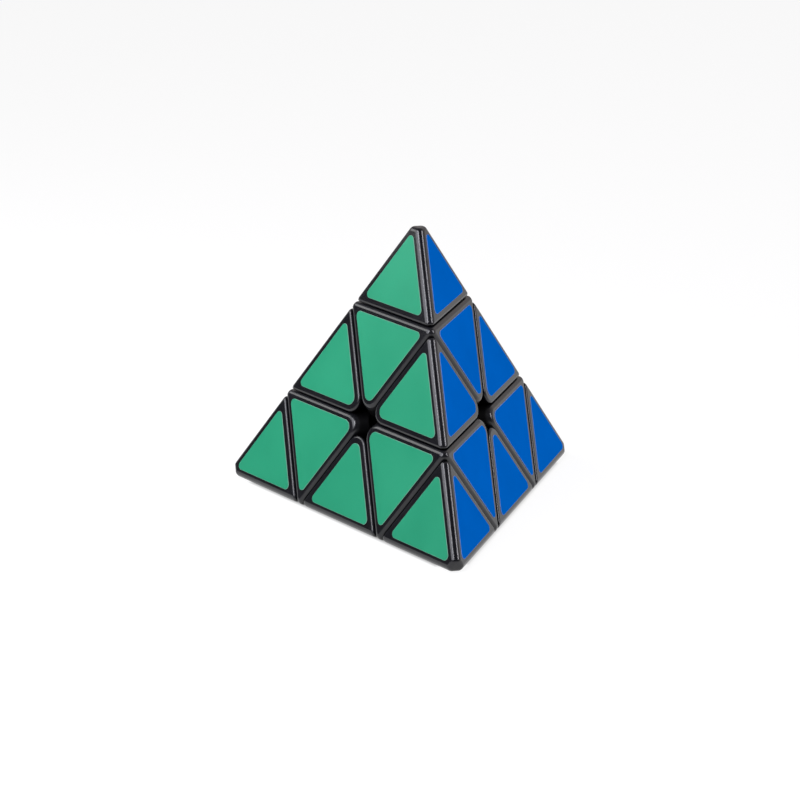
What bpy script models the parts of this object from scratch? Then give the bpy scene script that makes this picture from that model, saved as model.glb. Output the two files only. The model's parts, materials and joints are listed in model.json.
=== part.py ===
"""Pyramid twisty puzzle: a tetrahedron of three layers that turns about its four corners.

Frame: metres, +Z up, origin where the four turning axes meet, in the middle of the core.
The corners are top (+Z), front (-Y), right (+X +Y) and left (-X +Y). The base is a face.
Each layer turns about the axis from the origin to its corner, and each tip turns on it too.
"""
import math

import bmesh
import bpy
from mathutils import Matrix, Vector

MM = 0.001

# ---- Driving dimensions ----
EDGE = 98 * MM                       # edge of the tetrahedron before its ridges are chamfered
RIDGE_CHAMFER = 1.1 * MM             # depth of the flat along each ridge
CAP_CUT = 3.8 * MM                   # depth of the flat on each corner
CUT_GAP = 0.30 * MM                  # running gap at every cut
LAYER_SHIFT = 0.10 * MM              # layer cut beyond a third of the height, towards the corner
TIP_SHIFT = 0.36 * MM                # tip cut beyond two thirds of the height
CENTRE_ROUND = 3.2 * MM              # rounding of each piece's corner at a face's centre
ROUND_FLATS = (-20, 0, 20)           # that rounding's flats, in degrees from its middle
WALL = 2.0 * MM                      # wall of the hollow mouldings
TIP_WALL = 1.9 * MM

STICKER_THICK = 0.25 * MM
STICKER_LIFT = 0.04 * MM             # glue line under a sticker
STICKER_CORNER = 1.2 * MM
STICKER_CENTRE_CORNER = 2.0 * MM     # rounder corner next to a face's centre
TIP_STICKER = (2.53 * MM, 2.68 * MM)     # margins to the tip cut and to the ridges
AXIAL_STICKER = (1.47 * MM, 1.66 * MM)   # margins to the tip cut and to the layer cuts
EDGE_STICKER = (2.24 * MM, 2.63 * MM)    # margins to the layer cuts and to the ridge

HUB_RADIUS = 8.2 * MM                # core ball that the feet slide round
ARM_RADIUS = 3.3 * MM
ARM_TOP = 14.0 * MM
PILOT_RADIUS = 1.6 * MM
PILOT_BOTTOM = 5.4 * MM
FOOT_INNER = 8.5 * MM                # spherical shell that holds the feet of the edges
SHELL_RADIUS = 16.0 * MM             # its outer sphere, the underside of the corner pieces
FOOT_CONE = math.radians(80)         # half-angle of each layer's cone inside that shell
CONE_GAP = math.radians(0.75)        # clearance on each side of a cone
CHANNEL_RADIUS = 1.2 * MM            # core-pin hole from an edge's hollow to its foot
HOLLOW_FLOOR = 19.0 * MM             # where an edge's hollow stops, above its foot

STEM_RADIUS = 4.9 * MM
STEM_BORE = 3.6 * MM
STEM_BOTTOM = 9.0 * MM
STEM_CEILING = 14.3 * MM
SEAT = 18.2 * MM                     # where the spring sits, in the well of a corner piece
WELL_RADIUS = 3.9 * MM
WELL_TUBE = 5.3 * MM
SCREW_HOLE = 1.9 * MM
GROOVE_RADIUS = 4.5 * MM             # snap groove for the tip's peg
GROOVE_Z = 30.7 * MM
GROOVE_HALF = 0.6 * MM               # half its height at the bottom of the groove
GROOVE_LIP = 0.6 * MM                # height of its sloping sides

PEG_RADIUS = 3.6 * MM
PEG_BORE = 2.3 * MM
PEG_BOTTOM = 27.6 * MM
PEG_BORE_TOP = 40.0 * MM
PEG_TOP = 47.0 * MM
PEG_BEAD = 4.15 * MM                 # radius of the bead that snaps into the groove
BEAD_TOP = GROOVE_Z + 0.5 * MM
BEAD_BOTTOM = GROOVE_Z - 0.3 * MM
BEAD_SLOPE = 0.3 * MM
PEG_LEAD = 0.4 * MM                  # how much narrower the peg starts
PEG_SLOT = 0.9 * MM
PEG_SLOT_TOP = 34.5 * MM

SCREW_RADIUS = 1.5 * MM
SCREW_TIP = 6.0 * MM
SCREW_SHOULDER = 22.6 * MM
WASHER_RADIUS = 3.55 * MM
WASHER_THICK = 0.5 * MM
HEAD_RADIUS = 2.9 * MM
HEAD_HEIGHT = 2.0 * MM
HEAD_FLAT = 0.55                     # flat middle of the domed head, as a share of its radius
RECESS_WIDTH = 0.7 * MM
RECESS_LENGTH = 3.2 * MM
RECESS_DEPTH = 1.1 * MM

SPRING_WIRE = 0.35 * MM              # radius of the wire
SPRING_RADIUS = 2.75 * MM            # to the middle of the wire
SPRING_TURNS = 3.5
SPRING_POINTS = 10                   # for each turn
SPRING_GAP = 0.2 * MM                # between the coil and what it presses on

ROUND = 32                           # segments of the spheres and cones that slide on each other
COARSE = 20                          # segments of the other round faces
ARC_STEPS = 4                        # segments of a sticker's rounded corner
SMOOTH_ANGLE = math.radians(25)      # the edges of round faces are smooth below it

# ---- Worked out from the driving dimensions ----
INRADIUS = EDGE / (2 * math.sqrt(6))
CORNER = 3 * INRADIUS
RIDGE = EDGE / (2 * math.sqrt(2))
LAYER_CUT = INRADIUS / 3 + LAYER_SHIFT
TIP_CUT = 5 * INRADIUS / 3 + TIP_SHIFT
FACELET = EDGE / 3 * math.sqrt(3) / 2
HALF_GAP = CUT_GAP / 2
DIHEDRAL = math.acos(1 / 3)

SPREAD = 2 * math.sqrt(2) / 3
DIRECTION = {
    "top": Vector((0, 0, 1)),
    "front": Vector((0, -SPREAD, -1 / 3)),
    "right": Vector((SPREAD * math.cos(math.pi / 6), SPREAD / 2, -1 / 3)),
    "left": Vector((-SPREAD * math.cos(math.pi / 6), SPREAD / 2, -1 / 3)),
}
CORNERS = list(DIRECTION)
FACE_COLOUR = {"left": "blue", "right": "green", "front": "red", "top": "yellow"}
COLOURS = {
    "blue": (0.000, 0.115, 0.515),
    "green": (0.055, 0.400, 0.225),
    "red": (0.480, 0.020, 0.025),
    "yellow": (0.780, 0.560, 0.020),
}


# ---- Directions, planes and frames ----
def ridge_direction(a, b):
    """From the origin to the middle of the ridge between corners a and b."""
    return (DIRECTION[a] + DIRECTION[b]).normalized()


def in_face(corner, opposite):
    """Along the face opposite one corner, from the face's centre towards another corner."""
    return (DIRECTION[corner] + DIRECTION[opposite] / 3).normalized()


def others(*used):
    return [name for name in CORNERS if name not in used]


def frame_of(z_axis, minus_y):
    """Rotation that takes +Z to z_axis and puts minus_y in the half-plane of -Y."""
    z = z_axis.normalized()
    y = -(minus_y - minus_y.project(z)).normalized()
    x = y.cross(z)
    return Matrix((x, y, z)).transposed().to_4x4()


def face_frame(opposite, corner):
    """Frame of the face opposite a corner: Z points out of it, Y towards another corner."""
    z = -DIRECTION[opposite]
    return frame_of(z, -DIRECTION[corner])


def centre_planes(corner, opposite, cut_side):
    """Flats of the rounded corner that a piece has at a face's centre.

    The corner is where two layer cuts cross at 60 degrees on that face, and cut_side is +1 for
    the piece on a corner's own side of the centre, or -1 for the piece across it.
    """
    across = in_face(corner, opposite)
    shift = LAYER_CUT - INRADIUS / 3
    apex = -2 * (cut_side * shift - HALF_GAP) / math.sin(DIHEDRAL)
    middle = apex + 2 * CENTRE_ROUND
    planes = []
    for angle in ROUND_FLATS:
        turn = Matrix.Rotation(math.radians(angle), 3, DIRECTION[opposite])
        normal = turn @ (-cut_side * across)
        reach = CENTRE_ROUND - middle * math.cos(math.radians(angle))
        planes.append((normal, reach))
    return planes


def outer_planes(*opposite):
    return [(-DIRECTION[name], INRADIUS) for name in opposite]


def chamfer_planes(corner, names):
    return [(ridge_direction(corner, name), RIDGE - RIDGE_CHAMFER) for name in names]


def shrink(planes, wall):
    return [(normal, distance - wall) for normal, distance in planes]


# ---- Building blocks ----
def clear_scene():
    for obj in list(bpy.data.objects):
        bpy.data.objects.remove(obj, do_unlink=True)


def collection(name):
    made = bpy.data.collections.new(name)
    bpy.context.scene.collection.children.link(made)
    return made


def material(name, colour, roughness, metallic=0.0):
    made = bpy.data.materials.new(name)
    made.use_nodes = True
    shader = made.node_tree.nodes["Principled BSDF"]
    shader.inputs["Base Color"].default_value = (*colour, 1)
    shader.inputs["Roughness"].default_value = roughness
    shader.inputs["Metallic"].default_value = metallic
    made.diffuse_color = (*colour, 1)
    return made


def guide(name, mesh):
    """A cutter or a master shape: kept out of the finished object."""
    obj = bpy.data.objects.new(name, mesh)
    obj.hide_render = True
    obj.display_type = "WIRE"
    GUIDES.objects.link(obj)
    return obj


def mesh_from(name, bm):
    bmesh.ops.recalc_face_normals(bm, faces=bm.faces[:])
    mesh = bpy.data.meshes.new(name)
    bm.to_mesh(mesh)
    bm.free()
    return guide(name, mesh)


def cut_solid(name, planes):
    """A block cut down by planes, each a normal that points out and a distance."""
    bm = bmesh.new()
    bmesh.ops.create_cube(bm, size=2 * EDGE)
    for normal, distance in planes:
        everything = bm.verts[:] + bm.edges[:] + bm.faces[:]
        bmesh.ops.bisect_plane(
            bm, geom=everything, dist=1e-7, plane_co=normal * distance, plane_no=normal,
            clear_outer=True)
        rim = [edge for edge in bm.edges if edge.is_boundary]
        if rim:
            bmesh.ops.contextual_create(bm, geom=rim)
    bmesh.ops.remove_doubles(bm, verts=bm.verts[:], dist=1e-6)
    return mesh_from(name, bm)


def ball(name, radius, segments=ROUND):
    bm = bmesh.new()
    bmesh.ops.create_uvsphere(bm, u_segments=segments, v_segments=segments // 2, radius=radius)
    return mesh_from(name, bm)


def cone(name, direction, half_angle):
    """A solid cone with its apex at the origin, reaching past the shell sphere."""
    height = 1.2 * SHELL_RADIUS
    bm = bmesh.new()
    bmesh.ops.create_cone(
        bm, segments=ROUND, radius1=0, radius2=height * math.tan(half_angle),
        depth=height, cap_ends=True)
    bmesh.ops.translate(bm, verts=bm.verts[:], vec=(0, 0, height / 2))
    bmesh.ops.transform(bm, verts=bm.verts[:], matrix=turn_to(direction))
    return mesh_from(name, bm)


def rod(name, direction, radius, start, end, segments=16):
    """A cylinder along a direction from the origin, between two distances."""
    bm = bmesh.new()
    bmesh.ops.create_cone(
        bm, segments=segments, radius1=radius, radius2=radius, depth=end - start, cap_ends=True)
    bmesh.ops.translate(bm, verts=bm.verts[:], vec=(0, 0, (start + end) / 2))
    bmesh.ops.transform(bm, verts=bm.verts[:], matrix=turn_to(direction))
    return mesh_from(name, bm)


def turn_to(direction):
    return direction.to_track_quat("Z", "Y").to_matrix().to_4x4()


def block(name, size, centre):
    bm = bmesh.new()
    bmesh.ops.create_cube(bm, size=1)
    bmesh.ops.scale(bm, verts=bm.verts[:], vec=size)
    bmesh.ops.translate(bm, verts=bm.verts[:], vec=centre)
    return mesh_from(name, bm)


def turned(name, profile, segments=COARSE):
    """Turns a profile of (radius, height) about Z; it starts and ends on the axis, top first."""
    bm = bmesh.new()
    verts = [bm.verts.new((radius, 0, height)) for radius, height in profile]
    for upper, lower in zip(verts, verts[1:]):
        bm.edges.new((upper, lower))
    mesh = bpy.data.meshes.new(name)
    bm.to_mesh(mesh)
    bm.free()
    obj = guide(name, mesh)
    screw = obj.modifiers.new("Turn", "SCREW")
    screw.steps = segments
    screw.render_steps = segments
    screw.use_merge_vertices = True
    screw.merge_threshold = 1e-6
    return guide(name, baked(obj))


def combine(obj, operation, *cutters):
    for cutter in cutters:
        boolean = obj.modifiers.new(f"{operation} {cutter.name}", "BOOLEAN")
        boolean.operation = operation
        boolean.solver = "EXACT"
        boolean.object = cutter
    return obj


def baked(obj):
    """The mesh of an object with its modifiers applied."""
    bpy.context.view_layer.update()
    graph = bpy.context.evaluated_depsgraph_get()
    return bpy.data.meshes.new_from_object(obj.evaluated_get(graph), depsgraph=graph)


def finished(obj, smooth_angle=None):
    """The baked mesh, with the specks of the booleans merged and the round faces smooth."""
    mesh = baked(obj)
    bm = bmesh.new()
    bm.from_mesh(mesh)
    bmesh.ops.remove_doubles(bm, verts=bm.verts[:], dist=2e-6)
    bmesh.ops.dissolve_degenerate(bm, edges=bm.edges[:], dist=2e-6)
    bm.to_mesh(mesh)
    bm.free()
    if smooth_angle:
        mesh.shade_smooth()
        mesh.set_sharp_from_angle(angle=smooth_angle)
    return mesh


def place(name, mesh, frame, surface):
    obj = bpy.data.objects.new(name, mesh)
    PARTS.objects.link(obj)
    if not mesh.materials:
        mesh.materials.append(None)
    obj.material_slots[0].link = "OBJECT"
    obj.material_slots[0].material = surface
    obj.matrix_world = frame
    return obj


# ---- Mouldings, each made at the top corner or at the ridge from top to front ----
def tip_mesh():
    sides = others("top")
    skin = outer_planes(*sides) + chamfer_planes("top", sides)
    skin.append((DIRECTION["top"], CORNER - CAP_CUT))
    base = (-DIRECTION["top"], -(TIP_CUT + HALF_GAP))
    tip = cut_solid("tip_body", skin + [base])
    below = (-DIRECTION["top"], 0)
    hollow = cut_solid("tip_hollow", shrink(skin, TIP_WALL) + [below])
    peg = turned("tip_peg", [
        (0, PEG_TOP),
        (PEG_RADIUS, PEG_TOP),
        (PEG_RADIUS, BEAD_TOP),
        (PEG_BEAD, BEAD_TOP - BEAD_SLOPE),
        (PEG_BEAD, BEAD_BOTTOM),
        (PEG_RADIUS - PEG_LEAD, PEG_BOTTOM),
        (0, PEG_BOTTOM),
    ])
    bore = rod("tip_bore", DIRECTION["top"], PEG_BORE, PEG_BOTTOM - MM, PEG_BORE_TOP)
    slot_height = PEG_SLOT_TOP - PEG_BOTTOM + MM
    slot_centre = (0, 0, PEG_SLOT_TOP - slot_height / 2)
    slot_x = block("tip_slot_x", (3 * PEG_RADIUS, PEG_SLOT, slot_height), slot_centre)
    slot_y = block("tip_slot_y", (PEG_SLOT, 3 * PEG_RADIUS, slot_height), slot_centre)
    combine(tip, "DIFFERENCE", hollow)
    combine(tip, "UNION", peg)
    combine(tip, "DIFFERENCE", bore, slot_x, slot_y)
    return finished(tip, SMOOTH_ANGLE)


def axial_mesh():
    sides = others("top")
    skin = outer_planes(*sides) + chamfer_planes("top", sides)
    skin += [(DIRECTION[name], LAYER_CUT - HALF_GAP) for name in sides]
    for name in sides:
        skin += centre_planes("top", name, 1)
    skin.append((-DIRECTION["top"], -(LAYER_CUT + HALF_GAP)))
    lid = (DIRECTION["top"], TIP_CUT - HALF_GAP)
    axial = cut_solid("axial_body", skin + [lid])
    hollow = cut_solid("axial_hollow", shrink(skin, WALL))
    dome = ball("axial_dome", SHELL_RADIUS + HALF_GAP + WALL, COARSE)
    tube = rod("axial_tube", DIRECTION["top"], WELL_TUBE, 0, EDGE, COARSE)
    combine(hollow, "DIFFERENCE", dome, tube)
    underside = ball("axial_underside", SHELL_RADIUS + HALF_GAP)
    stem = rod("axial_stem", DIRECTION["top"], STEM_RADIUS, STEM_BOTTOM, SEAT, COARSE)
    groove_top = GROOVE_Z + GROOVE_HALF
    groove_bottom = GROOVE_Z - GROOVE_HALF
    bore = turned("axial_bore", [
        (0, TIP_CUT + MM),
        (WELL_RADIUS, TIP_CUT + MM),
        (WELL_RADIUS, groove_top + GROOVE_LIP),
        (GROOVE_RADIUS, groove_top),
        (GROOVE_RADIUS, groove_bottom),
        (WELL_RADIUS, groove_bottom - GROOVE_LIP),
        (WELL_RADIUS, SEAT),
        (SCREW_HOLE, SEAT),
        (SCREW_HOLE, STEM_CEILING),
        (STEM_BORE, STEM_CEILING),
        (STEM_BORE, STEM_BOTTOM - MM),
        (0, STEM_BOTTOM - MM),
    ])
    combine(axial, "DIFFERENCE", underside)
    combine(axial, "UNION", stem)
    combine(axial, "DIFFERENCE", hollow, bore)
    return finished(axial, SMOOTH_ANGLE)


def edge_mesh():
    far = others("top", "front")
    along = ridge_direction("top", "front")
    skin = outer_planes(*far) + chamfer_planes("top", ["front"])
    skin += [(-DIRECTION[name], -(LAYER_CUT + HALF_GAP)) for name in ("top", "front")]
    skin += centre_planes(far[0], far[1], -1) + centre_planes(far[1], far[0], -1)
    edge = cut_solid("edge_body", skin)
    foot = ball("edge_foot", SHELL_RADIUS - HALF_GAP)
    for name in ("top", "front"):
        inside = cone(f"edge_inside_{name}", DIRECTION[name], FOOT_CONE - CONE_GAP)
        combine(foot, "INTERSECT", inside)
    for name in far:
        outside = cone(f"edge_outside_{name}", DIRECTION[name], FOOT_CONE + CONE_GAP)
        combine(foot, "DIFFERENCE", outside)
    combine(foot, "DIFFERENCE", ball("edge_hub", FOOT_INNER, COARSE))
    hollow = cut_solid("edge_hollow", shrink(skin, WALL) + [(-along, -HOLLOW_FLOOR)])
    channel = rod("edge_channel", along, CHANNEL_RADIUS, FOOT_INNER - MM, HOLLOW_FLOOR + MM, 12)
    combine(edge, "UNION", foot)
    combine(edge, "DIFFERENCE", hollow, channel)
    return finished(edge, SMOOTH_ANGLE)


# ---- Core and hardware ----
def core_mesh():
    core = ball("core_hub", HUB_RADIUS, COARSE)
    for name in CORNERS:
        arm = rod(f"core_arm_{name}", DIRECTION[name], ARM_RADIUS, 0.3 * ARM_TOP, ARM_TOP)
        combine(core, "UNION", arm)
    for name in CORNERS:
        pilot = rod(f"core_pilot_{name}", DIRECTION[name], PILOT_RADIUS, PILOT_BOTTOM, EDGE)
        combine(core, "DIFFERENCE", pilot)
    return finished(core, SMOOTH_ANGLE)


def screw_mesh():
    head_top = SCREW_SHOULDER + WASHER_THICK + HEAD_HEIGHT
    screw = turned("screw_body", [
        (0, head_top),
        (HEAD_FLAT * HEAD_RADIUS, head_top),
        (0.9 * HEAD_RADIUS, head_top - 0.25 * HEAD_HEIGHT),
        (HEAD_RADIUS, head_top - 0.6 * HEAD_HEIGHT),
        (HEAD_RADIUS, SCREW_SHOULDER + WASHER_THICK),
        (WASHER_RADIUS, SCREW_SHOULDER + WASHER_THICK),
        (WASHER_RADIUS, SCREW_SHOULDER),
        (SCREW_RADIUS, SCREW_SHOULDER),
        (SCREW_RADIUS, SCREW_TIP + SCREW_RADIUS),
        (0, SCREW_TIP),
    ], segments=16)
    centre = (0, 0, head_top)
    recess_x = block("screw_recess_x", (RECESS_LENGTH, RECESS_WIDTH, 2 * RECESS_DEPTH), centre)
    recess_y = block("screw_recess_y", (RECESS_WIDTH, RECESS_LENGTH, 2 * RECESS_DEPTH), centre)
    combine(screw, "DIFFERENCE", recess_x, recess_y)
    return finished(screw, SMOOTH_ANGLE)


def spring_mesh():
    """A compression spring between the seat and the screw's washer."""
    low = SEAT + SPRING_GAP + SPRING_WIRE
    high = SCREW_SHOULDER - SPRING_GAP - SPRING_WIRE
    count = int(SPRING_TURNS * SPRING_POINTS) + 1
    curve = bpy.data.curves.new("spring_coil", "CURVE")
    curve.dimensions = "3D"
    curve.bevel_depth = SPRING_WIRE
    curve.bevel_resolution = 2
    curve.use_fill_caps = True
    spline = curve.splines.new("POLY")
    spline.points.add(count - 1)
    for step, point in enumerate(spline.points):
        part = step / (count - 1)
        angle = 2 * math.pi * SPRING_TURNS * part
        point.co = (SPRING_RADIUS * math.cos(angle), SPRING_RADIUS * math.sin(angle),
                    low + (high - low) * part, 1)
    return welded(curve)


def welded(curve):
    """A curve's mesh with its caps joined on."""
    obj = guide(curve.name, curve)
    mesh = finished(obj, math.radians(60))
    bpy.data.objects.remove(obj, do_unlink=True)
    return mesh


# ---- Stickers, each made in the frame of a face, with Y towards a corner ----
def rounded_triangle(inradius, centre_y, point_up, radii):
    """Corner arcs of an equilateral triangle; radii start at its point and go round."""
    outline = []
    start = math.pi / 2 if point_up else -math.pi / 2
    for turn, radius in enumerate(radii):
        angle = start + turn * 2 * math.pi / 3
        reach = 2 * (inradius - radius)
        middle = Vector((reach * math.cos(angle), reach * math.sin(angle) + centre_y))
        for step in range(ARC_STEPS + 1):
            swing = angle - math.pi / 3 + step * 2 * math.pi / 3 / ARC_STEPS
            outline.append(middle + radius * Vector((math.cos(swing), math.sin(swing))))
    return outline


def sticker_mesh(name, outline):
    curve = bpy.data.curves.new(name, "CURVE")
    curve.dimensions = "2D"
    curve.fill_mode = "BOTH"
    curve.extrude = STICKER_THICK / 2
    spline = curve.splines.new("POLY")
    spline.points.add(len(outline) - 1)
    height = INRADIUS + STICKER_LIFT + STICKER_THICK / 2
    for point, place_in_face in zip(spline.points, outline):
        point.co = (place_in_face.x, place_in_face.y, 0, 1)
    spline.use_cyclic_u = True
    mesh = welded(curve)
    mesh.transform(Matrix.Translation((0, 0, height)))
    return mesh


def sticker_meshes():
    """The three sticker shapes, from their margins to the cuts and ridges of a face."""
    cut, ridge = TIP_STICKER
    low = FACELET + cut
    inradius = (2 * (FACELET - ridge) - low) / 3
    tip = rounded_triangle(inradius, low + inradius, True, [STICKER_CORNER] * 3)
    cut, layer = AXIAL_STICKER
    high = FACELET - cut
    inradius = (high - 2 * layer) / 3
    corners = [STICKER_CENTRE_CORNER, STICKER_CORNER, STICKER_CORNER]
    axial = rounded_triangle(inradius, high - inradius, False, corners)
    layer, ridge = EDGE_STICKER
    low = FACELET - ridge
    inradius = (low - 2 * layer) / 3
    edge = rounded_triangle(inradius, inradius - low, True, corners)
    return (sticker_mesh("tip_sticker", tip), sticker_mesh("axial_sticker", axial),
            sticker_mesh("edge_sticker", edge))


# ---- Assembly ----
def build_corners(plastic, steel, zinc):
    tip, axial, screw, spring = tip_mesh(), axial_mesh(), screw_mesh(), spring_mesh()
    for corner in CORNERS:
        neighbour = "front" if corner == "top" else "top"
        frame = frame_of(DIRECTION[corner], DIRECTION[neighbour])
        place(f"tip_{corner}", tip, frame, plastic)
        place(f"axial_{corner}", axial, frame, plastic)
        place(f"screw_{corner}", screw, frame, zinc)
        place(f"spring_{corner}", spring, frame, steel)


def build_edges(plastic):
    mesh = edge_mesh()
    for index, first in enumerate(CORNERS):
        for second in CORNERS[index + 1:]:
            frame = frame_of(DIRECTION[first], DIRECTION[second])
            place(f"edge_{first}_{second}", mesh, frame, plastic)


def build_stickers():
    tip, axial, edge = sticker_meshes()
    for opposite, colour in FACE_COLOUR.items():
        vinyl = material(f"sticker_{colour}", COLOURS[colour], 0.45)
        for corner in others(opposite):
            frame = face_frame(opposite, corner)
            first, second = others(opposite, corner)
            place(f"sticker_{colour}_tip_{corner}", tip, frame, vinyl)
            place(f"sticker_{colour}_axial_{corner}", axial, frame, vinyl)
            place(f"sticker_{colour}_edge_{first}_{second}", edge, frame, vinyl)


clear_scene()
PARTS = collection("pyramid_twisty_puzzle")
GUIDES = collection("cutters")
BLACK = material("black_plastic", (0.012, 0.012, 0.014), 0.35)
GREY = material("core_plastic", (0.03, 0.03, 0.032), 0.45)
STEEL = material("spring_steel", (0.55, 0.55, 0.56), 0.30, 1.0)
ZINC = material("zinc_plated_steel", (0.60, 0.60, 0.58), 0.35, 1.0)
place("core_spider", core_mesh(), Matrix.Identity(4), GREY)
build_corners(BLACK, STEEL, ZINC)
build_edges(BLACK)
build_stickers()
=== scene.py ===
"""Looks of the pyramid twisty puzzle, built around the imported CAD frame.

Every piece of the frame is replaced by a finer one of nearly the same size: the mouldings get
rounded rims and rounded face-centre corners, the stickers a soft cut edge, the screws a thread
and the springs level ends. Metres, +Z up, origin where the turning axes meet.
"""
import json
import math

import bmesh
import bpy
from mathutils import Matrix, Vector

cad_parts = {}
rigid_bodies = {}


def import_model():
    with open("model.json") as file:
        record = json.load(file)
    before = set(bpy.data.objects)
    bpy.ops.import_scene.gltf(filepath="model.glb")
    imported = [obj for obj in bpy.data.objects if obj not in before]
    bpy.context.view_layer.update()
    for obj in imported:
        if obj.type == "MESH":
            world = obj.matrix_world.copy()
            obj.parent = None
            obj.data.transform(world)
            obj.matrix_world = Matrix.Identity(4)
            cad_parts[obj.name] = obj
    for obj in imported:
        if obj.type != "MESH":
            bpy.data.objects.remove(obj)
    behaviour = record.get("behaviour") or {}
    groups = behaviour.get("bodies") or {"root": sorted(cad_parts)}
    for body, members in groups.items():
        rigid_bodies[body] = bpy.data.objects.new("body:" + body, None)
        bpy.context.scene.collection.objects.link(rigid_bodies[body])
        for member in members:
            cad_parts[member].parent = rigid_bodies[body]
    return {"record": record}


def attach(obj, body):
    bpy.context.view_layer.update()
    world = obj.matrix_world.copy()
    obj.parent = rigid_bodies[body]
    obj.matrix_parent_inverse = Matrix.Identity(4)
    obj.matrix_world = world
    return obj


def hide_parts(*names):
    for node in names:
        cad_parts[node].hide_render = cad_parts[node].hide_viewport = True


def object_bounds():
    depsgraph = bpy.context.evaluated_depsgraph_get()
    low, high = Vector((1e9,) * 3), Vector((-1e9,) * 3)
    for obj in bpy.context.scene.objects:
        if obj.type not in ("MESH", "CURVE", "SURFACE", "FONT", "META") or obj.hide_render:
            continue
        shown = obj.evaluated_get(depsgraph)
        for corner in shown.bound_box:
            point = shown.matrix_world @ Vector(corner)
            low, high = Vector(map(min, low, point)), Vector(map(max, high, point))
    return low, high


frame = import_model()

CAD_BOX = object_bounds()
MM = 0.001

# ---- Driving dimensions, the same as the frame's ----
EDGE = 98 * MM
CUT_GAP = 0.30 * MM
LAYER_SHIFT = 0.10 * MM
TIP_SHIFT = 0.36 * MM
WALL = 2.0 * MM
TIP_WALL = 1.9 * MM

STICKER_THICK = 0.25 * MM
STICKER_LIFT = 0.04 * MM
STICKER_CORNER = 1.2 * MM
STICKER_CENTRE_CORNER = 2.0 * MM
TIP_STICKER = (2.53 * MM, 2.68 * MM)     # margins at the tip cut and at a ridge
AXIAL_STICKER = (1.47 * MM, 1.66 * MM)   # at the tip cut and at a layer cut
EDGE_STICKER = (2.24 * MM, 2.63 * MM)    # at a layer cut and at a ridge

HUB_RADIUS = 8.2 * MM
ARM_RADIUS = 3.3 * MM
ARM_ROOT = 4.2 * MM                  # where an arm starts, inside the hub
ARM_TOP = 14.0 * MM
PILOT_RADIUS = 1.6 * MM
PILOT_BOTTOM = 5.4 * MM
FOOT_INNER = 8.5 * MM
SHELL_RADIUS = 16.0 * MM
CONE_HEIGHT = 1.2 * SHELL_RADIUS
FOOT_CONE = math.radians(80)
CONE_GAP = math.radians(0.75)
CHANNEL_RADIUS = 1.2 * MM
HOLLOW_FLOOR = 19.0 * MM

STEM_RADIUS = 4.9 * MM
STEM_BORE = 3.6 * MM
STEM_BOTTOM = 9.0 * MM
STEM_CEILING = 14.3 * MM
SEAT = 18.2 * MM
WELL_RADIUS = 3.9 * MM
WELL_TUBE = 5.3 * MM
SCREW_HOLE = 1.9 * MM
GROOVE_RADIUS = 4.5 * MM
GROOVE_Z = 30.7 * MM
GROOVE_HALF = 0.6 * MM
GROOVE_LIP = 0.6 * MM

PEG_RADIUS = 3.6 * MM
PEG_BORE = 2.3 * MM
PEG_BOTTOM = 27.6 * MM
PEG_BORE_TOP = 40.0 * MM
PEG_TOP = 47.0 * MM
PEG_BEAD = 4.15 * MM
BEAD_TOP = GROOVE_Z + 0.5 * MM
BEAD_BOTTOM = GROOVE_Z - 0.3 * MM
BEAD_SLOPE = 0.3 * MM
PEG_LEAD = 0.4 * MM
PEG_SLOT = 0.9 * MM
PEG_SLOT_TOP = 34.5 * MM

SCREW_RADIUS = 1.5 * MM
SCREW_TIP = 6.0 * MM
SCREW_SHOULDER = 22.6 * MM
WASHER_RADIUS = 3.55 * MM
WASHER_THICK = 0.5 * MM
HEAD_RADIUS = 2.9 * MM
HEAD_HEIGHT = 2.0 * MM
RECESS_WIDTH = 0.7 * MM
RECESS_LENGTH = 3.2 * MM
RECESS_DEPTH = 1.1 * MM

SPRING_WIRE = 0.35 * MM
SPRING_RADIUS = 2.75 * MM
SPRING_TURNS = 3.5
SPRING_GAP = 0.2 * MM

# ---- Finer detail that only the looks have ----
RIDGE_FLAT = 0.97 * MM               # depth of the flat along each ridge, under the sharp ridge
RIDGE_RIM = 1.4 * MM                 # rounding on both sides of it
NOSE_CUT = 4.2 * MM                  # depth of the flat on each corner
NOSE_RIM = 1.35 * MM                 # rounding round it
BLUNT_RIM = 1.25 * MM                # rounding at a cut where the faces meet at 109 degrees
SHARP_RIM = 0.7 * MM                 # rounding at a cut where the faces meet at 71 degrees
CENTRE_RIM = 3.9 * MM                # rounding of a piece's corner at a face's centre
CENTRE_STEPS = 10                    # that rounding turns in this many equal steps
RIM_SEGMENTS = 6
STICKER_ARC_STEPS = 12
STICKER_EDGE = 0.09 * MM             # rounding of a sticker's cut edge
STICKER_EDGE_SEGMENTS = 3
STICKER_SHOWN = 0.12 * MM            # how far the vinyl stands out of the plastic
STICKER_BED = 0.02 * MM              # how far its underside lies below the plastic's face
THREAD_PITCH = 1.1 * MM
THREAD_DEPTH = 0.28 * MM
THREAD_AROUND = 32                   # points round the shank
THREAD_ROWS = 8                      # rows of points in one pitch
PLAIN_SHANK = 4 * MM                 # length without thread, under the washer
POINT_LENGTH = 1.5 * SCREW_RADIUS    # the shank narrows over this length
POINT_SCALE = 0.3                    # to this part of its radius
WASHER_EDGE = 0.1 * MM
HEAD_DOME = 0.65                     # the part of the head's height that is domed
HEAD_SEGMENTS = 48
DOME_STEPS = 6
SPRING_STEPS = 28                    # points in one turn of the spring
SPRING_LEVEL = 0.25                  # turns at each end that lie level
FINE = 64                            # segments of the round faces
MERGE = 0.002 * MM                   # points closer than this are one
CUT_MERGE = 0.001 * MM               # the same while cutting and turning
SMOOTH_ANGLE = math.radians(31)      # edges under this angle are shaded smooth
COIL_SMOOTH_ANGLE = math.radians(60)
SAME_WAY = 0.9999                    # cosine above which a face lies in a plane

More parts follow.
